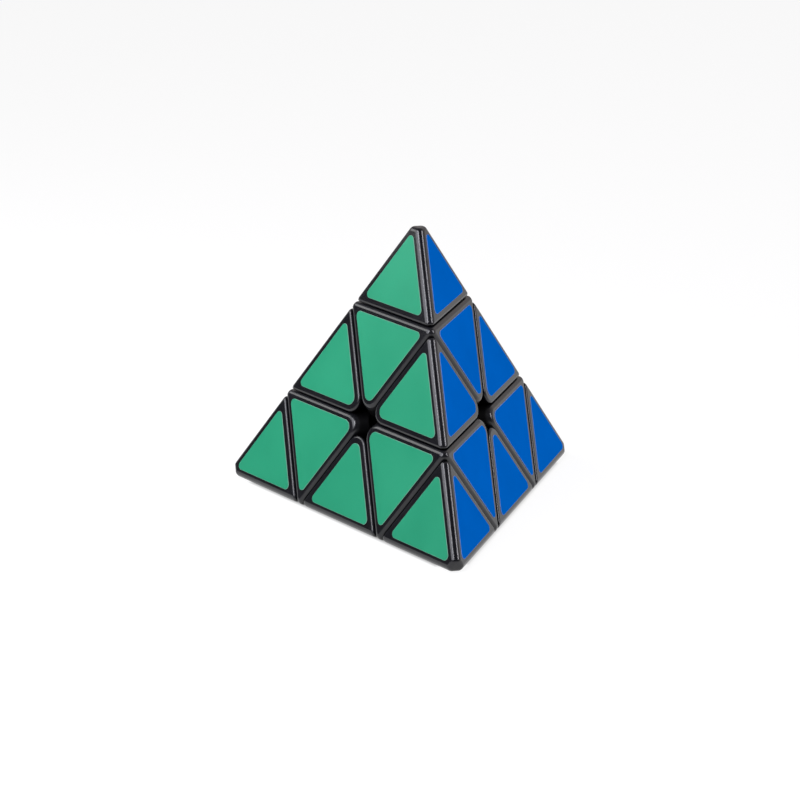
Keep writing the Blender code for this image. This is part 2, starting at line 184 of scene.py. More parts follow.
# ---- Worked out ----
INRADIUS = EDGE / (2 * math.sqrt(6))
CORNER = 3 * INRADIUS
RIDGE = EDGE / (2 * math.sqrt(2))
LAYER_CUT = INRADIUS / 3 + LAYER_SHIFT
TIP_CUT = 5 * INRADIUS / 3 + TIP_SHIFT
FACELET = EDGE / 3 * math.sqrt(3) / 2
HALF_GAP = CUT_GAP / 2
STICKER_TOP = INRADIUS + STICKER_LIFT + STICKER_THICK
FACE = STICKER_TOP - STICKER_SHOWN   # the plastic's outer faces

SPREAD = 2 * math.sqrt(2) / 3
DIRECTION = {
    "top": Vector((0, 0, 1)),
    "front": Vector((0, -SPREAD, -1 / 3)),
    "right": Vector((SPREAD * math.cos(math.pi / 6), SPREAD / 2, -1 / 3)),
    "left": Vector((-SPREAD * math.cos(math.pi / 6), SPREAD / 2, -1 / 3)),
}
CORNERS = list(DIRECTION)
FACE_COLOUR = {"left": "blue", "right": "green", "front": "red", "top": "yellow"}
VINYL = {                            # colour and gloss of each face's stickers
    "blue": ((0.000, 0.114, 0.505), 0.0),
    "green": ((0.003, 0.235, 0.118), 0.4),
    "red": ((0.480, 0.020, 0.025), 0.3),
    "yellow": ((0.780, 0.560, 0.020), 0.3),
}
BLACK_DRIFT = ((0.0046, 0.0048, 0.0066), (0.0064, 0.0066, 0.0088))
BLACK_WORN = (0.014, 0.014, 0.018)
# painted shade: the colour of the faces inside the puzzle, darkened to stand in for their shadow
INSIDE_PAINTED_SHADE = (0.0012, 0.0012, 0.0015)
ZINC = (0.60, 0.60, 0.58)
SPRING_COLOUR = (0.55, 0.55, 0.56)
INSIDE_DEPTH = (0.5 * MM, 1.6 * MM)  # the plastic turns matt and gets painted shade between these depths under a face
NOSE_REACH = (42 * MM, 50 * MM)      # but not this far out, at the corner flats
TEXTURE_OFFSET = 37.0                # keeps the pieces' textures apart

OUTER, RIDGES, CAP, CUT, ROUND = "outer", "ridge", "cap", "cut", "round"


# ---- Directions and frames ----
def ridge_direction(a, b):
    return (DIRECTION[a] + DIRECTION[b]).normalized()


def others(*used):
    return [name for name in CORNERS if name not in used]


def frame_of(z_axis, minus_y):
    """Rotation that takes +Z to z_axis and puts minus_y in the half-plane of -Y."""
    z = z_axis.normalized()
    y = -(minus_y - minus_y.project(z)).normalized()
    x = y.cross(z)
    return Matrix((x, y, z)).transposed().to_4x4()


def turn_to(direction):
    return direction.to_track_quat("Z", "Y").to_matrix().to_4x4()


# ---- Planes of a moulding: (kind, outward normal, distance) ----
def outer_planes(*opposite):
    return [(OUTER, -DIRECTION[name], FACE) for name in opposite]


def chamfer_planes(corner, names):
    return [(RIDGES, ridge_direction(corner, name), RIDGE - RIDGE_FLAT) for name in names]


def shrink(planes, wall):
    return [(kind, normal, distance - wall) for kind, normal, distance in planes]


def rounding(first, second, radius):
    """Flats tangent to a cylinder that lies between two planes and touches both."""
    _, n1, d1 = first
    _, n2, d2 = second
    cosine = n1.dot(n2)
    angle = math.acos(cosine)
    a = ((d1 - radius) - (d2 - radius) * cosine) / (1 - cosine ** 2)
    b = ((d2 - radius) - (d1 - radius) * cosine) / (1 - cosine ** 2)
    axis_point = a * n1 + b * n2
    flats = []
    for step in range(1, CENTRE_STEPS):
        part = step / CENTRE_STEPS
        normal = (math.sin((1 - part) * angle) * n1 + math.sin(part * angle) * n2)
        normal = normal / math.sin(angle)
        flats.append((ROUND, normal, axis_point.dot(normal) + radius))
    return flats


# ---- Building blocks ----
def guide(name, mesh):
    """A cutter or a master shape, taken away at the end."""
    obj = bpy.data.objects.new(name, mesh)
    GUIDES.objects.link(obj)
    return obj


def mesh_from(name, bm):
    bmesh.ops.recalc_face_normals(bm, faces=bm.faces[:])
    mesh = bpy.data.meshes.new(name)
    bm.to_mesh(mesh)
    bm.free()
    return guide(name, mesh)


def cut_bmesh(planes):
    bm = bmesh.new()
    bmesh.ops.create_cube(bm, size=2 * EDGE)
    for _, normal, distance in planes:
        everything = bm.verts[:] + bm.edges[:] + bm.faces[:]
        bmesh.ops.bisect_plane(
            bm, geom=everything, dist=CUT_MERGE / 10, plane_co=normal * distance, plane_no=normal,
            clear_outer=True)
        rim = [edge for edge in bm.edges if edge.is_boundary]
        if rim:
            bmesh.ops.contextual_create(bm, geom=rim)
    bmesh.ops.remove_doubles(bm, verts=bm.verts[:], dist=CUT_MERGE)
    bmesh.ops.recalc_face_normals(bm, faces=bm.faces[:])
    return bm


def cut_solid(name, planes):
    return mesh_from(name, cut_bmesh(planes))


def kind_of(face, planes):
    """Which kind of plane a face of the cut solid lies in."""
    def miss(plane):
        _, normal, distance = plane
        gap = face.calc_center_median().dot(normal) - distance
        return (face.normal - normal).length + abs(gap) / MM
    return min(planes, key=miss)[0]


def rim_radius(pair, angle):
    """Rounding of the rim between two kinds of plane whose normals are an angle apart."""
    if CAP in pair:
        return NOSE_RIM
    if pair == {OUTER, RIDGES}:
        return RIDGE_RIM
    return BLUNT_RIM if angle < math.pi / 2 else SHARP_RIM


def rounded_solid(name, planes):
    """A cut solid whose rims are rounded where they show.

    A bevel as wide as a radius times the tangent of half the angle between the two normals
    rounds a rim to that radius.
    """
    bm = cut_bmesh(planes)
    layer = bm.edges.layers.float.new("bevel_weight_edge")
    kinds = {face: kind_of(face, planes) for face in bm.faces}
    widths = {}
    for edge in bm.edges:
        pair = {kinds[face] for face in edge.link_faces}
        if pair & {OUTER, RIDGES, CAP}:
            angle = edge.calc_face_angle()
            widths[edge] = rim_radius(pair, angle) * math.tan(angle / 2)
    widest = max(widths.values())
    for edge, width in widths.items():
        edge[layer] = width / widest
    obj = mesh_from(name, bm)
    bevel = obj.modifiers.new("Rims", "BEVEL")
    bevel.limit_method = "WEIGHT"
    bevel.offset_type = "OFFSET"
    bevel.width = widest
    bevel.segments = RIM_SEGMENTS
    bevel.use_clamp_overlap = False
    return guide(f"{name}_rounded", baked(obj))


def ball(name, radius, segments=FINE):
    bm = bmesh.new()
    bmesh.ops.create_uvsphere(bm, u_segments=segments, v_segments=segments // 2, radius=radius)
    return mesh_from(name, bm)


def cone(name, direction, half_angle):
    bm = bmesh.new()
    bmesh.ops.create_cone(
        bm, segments=FINE, radius1=0, radius2=CONE_HEIGHT * math.tan(half_angle),
        depth=CONE_HEIGHT, cap_ends=True)
    bmesh.ops.translate(bm, verts=bm.verts[:], vec=(0, 0, CONE_HEIGHT / 2))
    bmesh.ops.transform(bm, verts=bm.verts[:], matrix=turn_to(direction))
    return mesh_from(name, bm)


def rod(name, direction, radius, start, end, segments=FINE // 2):
    bm = bmesh.new()
    bmesh.ops.create_cone(
        bm, segments=segments, radius1=radius, radius2=radius, depth=end - start, cap_ends=True)
    bmesh.ops.translate(bm, verts=bm.verts[:], vec=(0, 0, (start + end) / 2))
    bmesh.ops.transform(bm, verts=bm.verts[:], matrix=turn_to(direction))
    return mesh_from(name, bm)


def block(name, size, centre):
    bm = bmesh.new()
    bmesh.ops.create_cube(bm, size=1)
    bmesh.ops.scale(bm, verts=bm.verts[:], vec=size)
    bmesh.ops.translate(bm, verts=bm.verts[:], vec=centre)
    return mesh_from(name, bm)


def turned(name, profile, segments=FINE // 2):
    """Turns a profile of (radius, height) about Z; it starts and ends on the axis, top first."""
    bm = bmesh.new()
    verts = [bm.verts.new((radius, 0, height)) for radius, height in profile]
    for upper, lower in zip(verts, verts[1:]):
        bm.edges.new((upper, lower))
    mesh = bpy.data.meshes.new(name)
    bm.to_mesh(mesh)
    bm.free()
    obj = guide(name, mesh)
    screw = obj.modifiers.new("Turn", "SCREW")
    screw.steps = segments
    screw.render_steps = segments
    screw.use_merge_vertices = True
    screw.merge_threshold = CUT_MERGE
    return guide(name, baked(obj))


def combine(obj, operation, *cutters):
    for cutter in cutters:
        boolean = obj.modifiers.new(f"{operation} {cutter.name}", "BOOLEAN")
        boolean.operation = operation
        boolean.solver = "EXACT"
        boolean.object = cutter
    return obj


def baked(obj):
    bpy.context.view_layer.update()
    graph = bpy.context.evaluated_depsgraph_get()
    return bpy.data.meshes.new_from_object(obj.evaluated_get(graph), depsgraph=graph)


def mark_rims(mesh, normals):
    """Gives each point 1 on a rounded rim and 0 where a flat face meets it."""
    flat = {index: False for index in range(len(mesh.vertices))}
    for face in mesh.polygons:
        if max(face.normal.dot(normal) for normal in normals) > SAME_WAY:
            for index in face.vertices:
                flat[index] = True
    rim = mesh.attributes.new("rim", "FLOAT", "POINT")
    for index, is_flat in flat.items():
        rim.data[index].value = 0.0 if is_flat else 1.0


def finished(obj, normals=None, smooth_angle=SMOOTH_ANGLE):
    """The finished mesh; with the normals of its flat faces it also gets the attribute "rim"."""
    mesh = baked(obj)
    bm = bmesh.new()
    bm.from_mesh(mesh)
    bmesh.ops.remove_doubles(bm, verts=bm.verts[:], dist=MERGE)
    bmesh.ops.dissolve_degenerate(bm, edges=bm.edges[:], dist=MERGE)
    bm.to_mesh(mesh)
    bm.free()
    mesh.shade_smooth()
    mesh.set_sharp_from_angle(angle=smooth_angle)
    if normals:
        mark_rims(mesh, normals)
    return mesh


# ---- Mouldings, each made at the top corner or at the ridge from top to front ----
def tip_mesh():
    sides = others("top")
    skin = outer_planes(*sides) + chamfer_planes("top", sides)
    skin.append((CAP, DIRECTION["top"], CORNER - NOSE_CUT))
    planes = skin + [(CUT, -DIRECTION["top"], -(TIP_CUT + HALF_GAP))]
    tip = rounded_solid("tip_body", planes)
    hollow = cut_solid("tip_hollow", shrink(skin, TIP_WALL) + [(CUT, -DIRECTION["top"], 0)])
    peg = turned("tip_peg", [
        (0, PEG_TOP),
        (PEG_RADIUS, PEG_TOP),
        (PEG_RADIUS, BEAD_TOP),
        (PEG_BEAD, BEAD_TOP - BEAD_SLOPE),
        (PEG_BEAD, BEAD_BOTTOM),
        (PEG_RADIUS - PEG_LEAD, PEG_BOTTOM),
        (0, PEG_BOTTOM),
    ])
    bore = rod("tip_bore", DIRECTION["top"], PEG_BORE, PEG_BOTTOM - MM, PEG_BORE_TOP)
    slot_height = PEG_SLOT_TOP - PEG_BOTTOM + MM
    slot_centre = (0, 0, PEG_SLOT_TOP - slot_height / 2)
    slot_x = block("tip_slot_x", (3 * PEG_RADIUS, PEG_SLOT, slot_height), slot_centre)
    slot_y = block("tip_slot_y", (PEG_SLOT, 3 * PEG_RADIUS, slot_height), slot_centre)
    combine(tip, "DIFFERENCE", hollow)
    combine(tip, "UNION", peg)
    combine(tip, "DIFFERENCE", bore, slot_x, slot_y)
    return finished(tip, [normal for _, normal, _ in planes])


def axial_mesh():
    sides = others("top")
    cuts = [(CUT, DIRECTION[name], LAYER_CUT - HALF_GAP) for name in sides]
    skin = outer_planes(*sides) + chamfer_planes("top", sides) + cuts
    for first, second in ((0, 1), (1, 2), (2, 0)):
        skin += rounding(cuts[first], cuts[second], CENTRE_RIM)
    skin.append((CUT, -DIRECTION["top"], -(LAYER_CUT + HALF_GAP)))
    planes = skin + [(CUT, DIRECTION["top"], TIP_CUT - HALF_GAP)]
    axial = rounded_solid("axial_body", planes)
    hollow = cut_solid("axial_hollow", shrink(skin, WALL))
    dome = ball("axial_dome", SHELL_RADIUS + HALF_GAP + WALL, FINE // 2)
    tube = rod("axial_tube", DIRECTION["top"], WELL_TUBE, 0, EDGE)
    combine(hollow, "DIFFERENCE", dome, tube)
    underside = ball("axial_underside", SHELL_RADIUS + HALF_GAP)
    stem = rod("axial_stem", DIRECTION["top"], STEM_RADIUS, STEM_BOTTOM, SEAT)
    groove_top = GROOVE_Z + GROOVE_HALF
    groove_bottom = GROOVE_Z - GROOVE_HALF
    bore = turned("axial_bore", [
        (0, TIP_CUT + MM),
        (WELL_RADIUS, TIP_CUT + MM),
        (WELL_RADIUS, groove_top + GROOVE_LIP),
        (GROOVE_RADIUS, groove_top),
        (GROOVE_RADIUS, groove_bottom),
        (WELL_RADIUS, groove_bottom - GROOVE_LIP),
        (WELL_RADIUS, SEAT),
        (SCREW_HOLE, SEAT),
        (SCREW_HOLE, STEM_CEILING),
        (STEM_BORE, STEM_CEILING),
        (STEM_BORE, STEM_BOTTOM - MM),
        (0, STEM_BOTTOM - MM),
    ])
    combine(axial, "DIFFERENCE", underside)
    combine(axial, "UNION", stem)
    combine(axial, "DIFFERENCE", hollow, bore)
    return finished(axial, [normal for kind, normal, _ in planes if kind != ROUND])


def edge_mesh():
    far = others("top", "front")
    along = ridge_direction("top", "front")
    cuts = [(CUT, -DIRECTION[name], -(LAYER_CUT + HALF_GAP)) for name in ("top", "front")]
    planes = outer_planes(*far) + chamfer_planes("top", ["front"]) + cuts
    planes += rounding(*cuts, CENTRE_RIM)
    edge = rounded_solid("edge_body", planes)
    foot = ball("edge_foot", SHELL_RADIUS - HALF_GAP)
    for name in ("top", "front"):
        inside = cone(f"edge_inside_{name}", DIRECTION[name], FOOT_CONE - CONE_GAP)
        combine(foot, "INTERSECT", inside)
    for name in far:
        outside = cone(f"edge_outside_{name}", DIRECTION[name], FOOT_CONE + CONE_GAP)
        combine(foot, "DIFFERENCE", outside)
    combine(foot, "DIFFERENCE", ball("edge_hub", FOOT_INNER))
    hollow = cut_solid("edge_hollow", shrink(planes, WALL) + [(CUT, -along, -HOLLOW_FLOOR)])
    channel = rod("edge_channel", along, CHANNEL_RADIUS, FOOT_INNER - MM, HOLLOW_FLOOR + MM)
    combine(edge, "UNION", foot)
    combine(edge, "DIFFERENCE", hollow, channel)
    return finished(edge, [normal for kind, normal, _ in planes if kind != ROUND])


# ---- Core and hardware ----
def core_mesh():
    core = ball("core_hub", HUB_RADIUS)
    for name in CORNERS:
        arm = rod(f"core_arm_{name}", DIRECTION[name], ARM_RADIUS, ARM_ROOT, ARM_TOP)
        combine(core, "UNION", arm)
    for name in CORNERS:
        pilot = rod(f"core_pilot_{name}", DIRECTION[name], PILOT_RADIUS, PILOT_BOTTOM, EDGE)
        combine(core, "DIFFERENCE", pilot)
    return finished(core)


def thread_mesh():
    """The screw's threaded shank, a grid wrapped round the axis with a helical ridge."""
    top = SCREW_SHOULDER + WASHER_THICK / 2
    rows = int((top - SCREW_TIP) / THREAD_PITCH * THREAD_ROWS)
    bm = bmesh.new()
    grid = []
    for row in range(rows + 1):
        height = SCREW_TIP + (top - SCREW_TIP) * row / rows
        taper = min(1, POINT_SCALE + (1 - POINT_SCALE) * (height - SCREW_TIP) / POINT_LENGTH)
        plain = height > SCREW_SHOULDER - PLAIN_SHANK
        ring = []
        for column in range(THREAD_AROUND):
            turn = column / THREAD_AROUND
            from_crest = abs((height / THREAD_PITCH - turn) % 1 - 0.5)
            depth = 0 if plain else THREAD_DEPTH * min(1, 3 * from_crest)
            radius = (SCREW_RADIUS - depth) * taper
            angle = 2 * math.pi * turn
            ring.append(bm.verts.new((radius * math.cos(angle), radius * math.sin(angle), height)))
        grid.append(ring)
    for lower, upper in zip(grid, grid[1:]):
        for column in range(THREAD_AROUND):
            after = (column + 1) % THREAD_AROUND
            bm.faces.new((lower[column], lower[after], upper[after], upper[column]))
    bm.faces.new(list(reversed(grid[0])))
    bm.faces.new(grid[-1])
    return mesh_from("screw_thread", bm)


def screw_mesh():
    washer_top = SCREW_SHOULDER + WASHER_THICK
    head_top = washer_top + HEAD_HEIGHT
    dome = []
    for step in range(DOME_STEPS + 1):
        swing = math.pi / 2 * step / DOME_STEPS
        drop = HEAD_DOME * HEAD_HEIGHT * (1 - math.cos(swing))
        dome.append((HEAD_RADIUS * math.sin(swing), head_top - drop))
    head = turned("screw_head", dome + [
        (HEAD_RADIUS, washer_top),
        (WASHER_RADIUS - WASHER_EDGE, washer_top),
        (WASHER_RADIUS, washer_top - WASHER_EDGE),
        (WASHER_RADIUS, SCREW_SHOULDER + WASHER_EDGE),
        (WASHER_RADIUS - WASHER_EDGE, SCREW_SHOULDER),
        (0, SCREW_SHOULDER),
    ], segments=HEAD_SEGMENTS)
    centre = (0, 0, head_top)
    recess_x = block("screw_recess_x", (RECESS_LENGTH, RECESS_WIDTH, 2 * RECESS_DEPTH), centre)
    recess_y = block("screw_recess_y", (RECESS_WIDTH, RECESS_LENGTH, 2 * RECESS_DEPTH), centre)
    combine(head, "DIFFERENCE", recess_x, recess_y)
    combine(head, "UNION", thread_mesh())
    return finished(head)


def spring_mesh():
    """A compression spring whose first and last quarter turns lie level."""
    low = SEAT + SPRING_GAP + SPRING_WIRE
    high = SCREW_SHOULDER - SPRING_GAP - SPRING_WIRE
    count = int(SPRING_TURNS * SPRING_STEPS) + 1
    level = SPRING_LEVEL / SPRING_TURNS
    curve = bpy.data.curves.new("spring_coil", "CURVE")
    curve.dimensions = "3D"
    curve.bevel_depth = SPRING_WIRE
    curve.bevel_resolution = 4
    curve.use_fill_caps = True
    spline = curve.splines.new("POLY")
    spline.points.add(count - 1)
    for step, point in enumerate(spline.points):
        part = step / (count - 1)
        rise = min(max((part - level) / (1 - 2 * level), 0), 1)
        angle = 2 * math.pi * SPRING_TURNS * part
        point.co = (SPRING_RADIUS * math.cos(angle), SPRING_RADIUS * math.sin(angle),
                    low + (high - low) * rise, 1)
    return finished(guide("spring_coil", curve), smooth_angle=COIL_SMOOTH_ANGLE)


# ---- Stickers, each made in the frame of a face, with Y towards a corner ----
def rounded_triangle(inradius, centre_y, point_up, radii):
    """Corner arcs of an equilateral triangle; radii start at its point and go round."""
    outline = []
    start = math.pi / 2 if point_up else -math.pi / 2
    for turn, radius in enumerate(radii):
        angle = start + turn * 2 * math.pi / 3
        reach = 2 * (inradius - radius)
        middle = Vector((reach * math.cos(angle), reach * math.sin(angle) + centre_y))
        for step in range(STICKER_ARC_STEPS + 1):
            swing = angle - math.pi / 3 + step * 2 * math.pi / 3 / STICKER_ARC_STEPS
            outline.append(middle + radius * Vector((math.cos(swing), math.sin(swing))))
    return outline


def sticker_mesh(name, outline):
    """A plate with a rounded upper rim; its attribute "rim" is 1 round the cut edge."""
    bottom = FACE - STICKER_BED
    bm = bmesh.new()
    base = bm.faces.new([bm.verts.new((p.x, p.y, bottom)) for p in outline])
    lifted = bmesh.ops.extrude_face_region(bm, geom=[base])
    top_verts = [item for item in lifted["geom"] if isinstance(item, bmesh.types.BMVert)]
    bmesh.ops.translate(bm, verts=top_verts, vec=(0, 0, STICKER_TOP - bottom))
    top = set(top_verts)
    rim = [edge for edge in bm.edges if edge.verts[0] in top and edge.verts[1] in top]
    bmesh.ops.bevel(
        bm, geom=rim, offset=STICKER_EDGE, segments=STICKER_EDGE_SEGMENTS, profile=0.5,
        affect="EDGES", clamp_overlap=False)
    obj = mesh_from(name, bm)
    return finished(obj, [Vector((0, 0, 1)), Vector((0, 0, -1))])


def sticker_meshes():
    cut, ridge = TIP_STICKER
    low = FACELET + cut
    inradius = (2 * (FACELET - ridge) - low) / 3
    tip = rounded_triangle(inradius, low + inradius, True, [STICKER_CORNER] * 3)
    cut, layer = AXIAL_STICKER
    high = FACELET - cut
    inradius = (high - 2 * layer) / 3
    corners = [STICKER_CENTRE_CORNER, STICKER_CORNER, STICKER_CORNER]
    axial = rounded_triangle(inradius, high - inradius, False, corners)
    layer, ridge = EDGE_STICKER
    low = FACELET - ridge
    inradius = (low - 2 * layer) / 3
    edge = rounded_triangle(inradius, inradius - low, True, corners)
    return (sticker_mesh("tip_sticker", tip), sticker_mesh("axial_sticker", axial),
            sticker_mesh("edge_sticker", edge))


# ---- Materials ----
class Nodes:
    """A node tree with short ways to add to it."""

    def __init__(self, tree):
        self.tree = tree

    def node(self, kind, **settings):
        made = self.tree.nodes.new(kind)
        for key, value in settings.items():
            setattr(made, key, value)
        return made

    def link(self, source, target):
        self.tree.links.new(source, target)

    def feed(self, socket, value):
        """Gives a socket a number or a link."""
        if isinstance(value, (int, float)):
            socket.default_value = value
        else:
            self.link(value, socket)

    def math(self, operation, first, second):
        made = self.node("ShaderNodeMath", operation=operation)
        self.feed(made.inputs[0], first)
        self.feed(made.inputs[1], second)
        return made.outputs[0]

    def along(self, point, direction):
        """How far a point lies along a direction."""
        made = self.node("ShaderNodeVectorMath", operation="DOT_PRODUCT")
        self.link(point, made.inputs[0])
        made.inputs[1].default_value = direction
        return made.outputs["Value"]

    def length(self, point):
        made = self.node("ShaderNodeVectorMath", operation="LENGTH")
        self.link(point, made.inputs[0])
        return made.outputs["Value"]

    def spread(self, value, low, high, start=0.3, end=0.7, kind="LINEAR"):
        """Maps start..end of a value to low..high, clamped."""
        made = self.node("ShaderNodeMapRange", interpolation_type=kind)
        self.link(value, made.inputs["Value"])
        for key, number in zip(("From Min", "From Max", "To Min", "To Max"),
                               (start, end, low, high)):
            made.inputs[key].default_value = number
        return made.outputs["Result"]


class Surface(Nodes):
    """A Principled material whose textures sit in each piece's own coordinates."""

    def __init__(self, name, roughness, metallic=0.0):
        self.material = bpy.data.materials.new(name)
        self.material.use_nodes = True
        super().__init__(self.material.node_tree)
        self.shader = self.tree.nodes["Principled BSDF"]
        self.shader.inputs["Roughness"].default_value = roughness
        self.shader.inputs["Metallic"].default_value = metallic
        self.own = self.node("ShaderNodeAttribute", attribute_name="own").outputs["Vector"]
        info = self.node("ShaderNodeObjectInfo")
        offset = self.math("MULTIPLY", info.outputs["Random"], TEXTURE_OFFSET)
        shift = self.node("ShaderNodeVectorMath", operation="ADD")
        self.link(self.own, shift.inputs[0])
        self.link(offset, shift.inputs[1])
        self.place = shift.outputs[0]

    def noise(self, size, detail=2.0, rough=0.5, stretch=(1, 1, 1)):
        """Noise whose grain is about size across."""
        scaled = self.node("ShaderNodeVectorMath", operation="MULTIPLY")
        self.link(self.place, scaled.inputs[0])
        scaled.inputs[1].default_value = stretch
        made = self.node("ShaderNodeTexNoise")
        made.inputs["Scale"].default_value = 1 / size
        made.inputs["Detail"].default_value = detail
        made.inputs["Roughness"].default_value = rough
        self.link(scaled.outputs[0], made.inputs["Vector"])
        return made.outputs["Fac"]

    def mix(self, factor, first, second):
        made = self.node("ShaderNodeMix", data_type="RGBA")
        self.link(factor, made.inputs["Factor"])
        for socket, value in ((made.inputs[6], first), (made.inputs[7], second)):
            if isinstance(value, tuple):
                socket.default_value = (*value, 1)
            else:
                self.link(value, socket)
        return made.outputs[2]

    def inside(self):
        """1 on the faces inside the puzzle, 0 from just under its outer faces outwards; it places
        the painted shade there.
        """
        reach = 0
        for direction in DIRECTION.values():
            reach = self.math("MAXIMUM", reach, self.along(self.own, -direction))
        deep = self.spread(reach, 1, 0, FACE - INSIDE_DEPTH[1], FACE - INSIDE_DEPTH[0])
        before_nose = self.spread(self.length(self.own), 1, 0, *NOSE_REACH)
        return self.math("MULTIPLY", deep, before_nose)

    def rim(self):
        return self.node("ShaderNodeAttribute", attribute_name="rim").outputs["Fac"]

    def bump(self, height, depth, strength=1.0, under=None):
        made = self.node("ShaderNodeBump")
        self.feed(made.inputs["Strength"], strength)
        made.inputs["Distance"].default_value = depth
        self.link(height, made.inputs["Height"])
        if under is not None:
            self.link(under, made.inputs["Normal"])
        return made.outputs["Normal"]

    def use(self, **sockets):
        for key, value in sockets.items():
            self.link(value, self.shader.inputs[key.replace("_", " ")])
        return self.material


def shade(colour, factor):
    return tuple(channel * factor for channel in colour)


def black_abs():
    """Moulded satin black: grain and scuffs on the flats, rims without them and a bit pale.

    The faces inside the puzzle are matt and darker: their colour carries painted shade, where
    little light reaches.
    """
    s = Surface("black_abs", 0.3)
    rim = s.rim()
    flat = s.math("SUBTRACT", 1.0, rim)
    inside = s.inside()
    grain = s.noise(0.14 * MM, detail=1.5)
    drift = s.noise(9 * MM, detail=3)
    scuffs = s.noise(0.5 * MM, detail=4, rough=0.7, stretch=(1, 0.08, 1))
    scuffs = s.math("MULTIPLY", s.spread(scuffs, 0, 1, 0.60, 0.72), flat)
    worn = s.math("MULTIPLY", rim, s.spread(s.noise(2.2 * MM, detail=4), 0, 1, 0.45, 0.65))
    colour = s.mix(s.spread(drift, 0, 1), *BLACK_DRIFT)
    colour = s.mix(s.math("MULTIPLY", worn, 0.45), colour, BLACK_WORN)
    # painted shade: the faces inside the puzzle, seen in the star holes and seams, are darkened
    colour = s.mix(inside, colour, INSIDE_PAINTED_SHADE)
    rough = s.spread(drift, 0.16, 0.21)
    for mask, more in ((scuffs, 0.03), (rim, 0.04), (inside, 0.3)):
        rough = s.math("ADD", rough, s.math("MULTIPLY", mask, more))
    gloss = s.spread(inside, 0.5, 0.07, 0, 1)
    bump = s.bump(grain, 0.003 * MM, s.math("MULTIPLY", flat, 0.4))
    bump = s.bump(scuffs, 0.002 * MM, s.math("MULTIPLY", flat, 0.25), under=bump)
    return s.use(Base_Color=colour, Roughness=rough, Normal=bump, Specular_IOR_Level=gloss)


def vinyl(name, colour, gloss):
    """Satin vinyl: a faint orange peel, fine grain, uneven ink, and a paler cut edge."""
    s = Surface(name, 0.42)
    s.shader.inputs["Specular IOR Level"].default_value = gloss
    cloud = s.noise(14 * MM, detail=3)
    speck = s.noise(0.22 * MM, detail=2)
    peel = s.noise(0.7 * MM, detail=1)
    ink = s.mix(s.spread(cloud, 0, 1), shade(colour, 0.95), shade(colour, 1.05))
    ink = s.mix(s.spread(speck, 0, 0.10, 0.4, 0.7), ink, shade(colour, 1.35))
    pale = tuple(0.6 * channel + 0.3 for channel in colour)
    ink = s.mix(s.math("MULTIPLY", s.rim(), 0.65), ink, pale)
    bump = s.bump(peel, 0.012 * MM, 0.35)
    bump = s.bump(speck, 0.004 * MM, 0.5, under=bump)
    return s.use(Base_Color=ink, Roughness=s.spread(cloud, 0.38, 0.46), Normal=bump)


def core_nylon():
    s = Surface("core_nylon", 0.5)
    cloud = s.noise(5 * MM, detail=3)
    colour = s.mix(s.spread(cloud, 0, 1), (0.026, 0.026, 0.028), (0.035, 0.035, 0.037))
    bump = s.bump(s.noise(0.2 * MM), 0.006 * MM, 0.6)
    return s.use(Base_Color=colour, Roughness=s.spread(cloud, 0.45, 0.58), Normal=bump)


def steel(name, colour, size, stretch):
    """Drawn or plated steel, with fine lines along one way and a few dull patches."""
    s = Surface(name, 0.3, metallic=1.0)
    lines = s.noise(size, detail=3, stretch=stretch)
    patch = s.noise(2.5 * MM, detail=2)
    tint = s.mix(s.spread(patch, 0, 1), shade(colour, 0.85), shade(colour, 1.05))
    bump = s.bump(lines, 0.004 * MM, 0.5)
    return s.use(Base_Color=tint, Roughness=s.spread(patch, 0.24, 0.40), Normal=bump)


# ---- Assembly ----
def body_of_node(node):
    for body, members in frame["record"]["behaviour"]["bodies"].items():
        if node in members:
            return body
    raise KeyError(node)


def place(node, mesh, matrix, surface):
    """A piece that stands for the frame's node of the same name and rides on its body.

    Its points keep the coordinates they had before the turn as the attribute "own", so the
    textures turn with the piece.
    """
    mesh = mesh.copy()
    own = mesh.attributes.new("own", "FLOAT_VECTOR", "POINT")
    for vertex, kept in zip(mesh.vertices, own.data):
        kept.vector = vertex.co
    mesh.transform(matrix)
    mesh.materials.clear()
    mesh.materials.append(surface)
    obj = bpy.data.objects.new(f"fine_{node}", mesh)
    PIECES.objects.link(obj)
    weighted = obj.modifiers.new("Even shading", "WEIGHTED_NORMAL")
    weighted.mode = "FACE_AREA"
    weighted.keep_sharp = True
    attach(obj, body_of_node(node))
    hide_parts(node)


def build_corners(plastic):
    tip, axial, screw, spring = tip_mesh(), axial_mesh(), screw_mesh(), spring_mesh()
    zinc = steel("screw_steel", ZINC, 0.3 * MM, (1, 1, 4))
    wire = steel("spring_steel", SPRING_COLOUR, 0.15 * MM, (1, 1, 1))
    for corner in CORNERS:
        neighbour = "front" if corner == "top" else "top"
        matrix = frame_of(DIRECTION[corner], DIRECTION[neighbour])
        place(f"tip_{corner}", tip, matrix, plastic)
        place(f"axial_{corner}", axial, matrix, plastic)
        place(f"screw_{corner}", screw, matrix, zinc)
        place(f"spring_{corner}", spring, matrix, wire)


def build_edges(plastic):
    mesh = edge_mesh()
    for index, first in enumerate(CORNERS):
        for second in CORNERS[index + 1:]:
            matrix = frame_of(DIRECTION[first], DIRECTION[second])
            place(f"edge_{first}_{second}", mesh, matrix, plastic)


def build_stickers():
    tip, axial, edge = sticker_meshes()
    for opposite, colour in FACE_COLOUR.items():
        slot = f"vinyl_{colour}"
        surface = vinyl(slot, *VINYL[colour])
        for corner in others(opposite):
            matrix = frame_of(-DIRECTION[opposite], -DIRECTION[corner])
            first, second = others(opposite, corner)
            place(f"sticker_{colour}_tip_{corner}", tip, matrix, surface)
            place(f"sticker_{colour}_axial_{corner}", axial, matrix, surface)
            place(f"sticker_{colour}_edge_{first}_{second}", edge, matrix, surface)


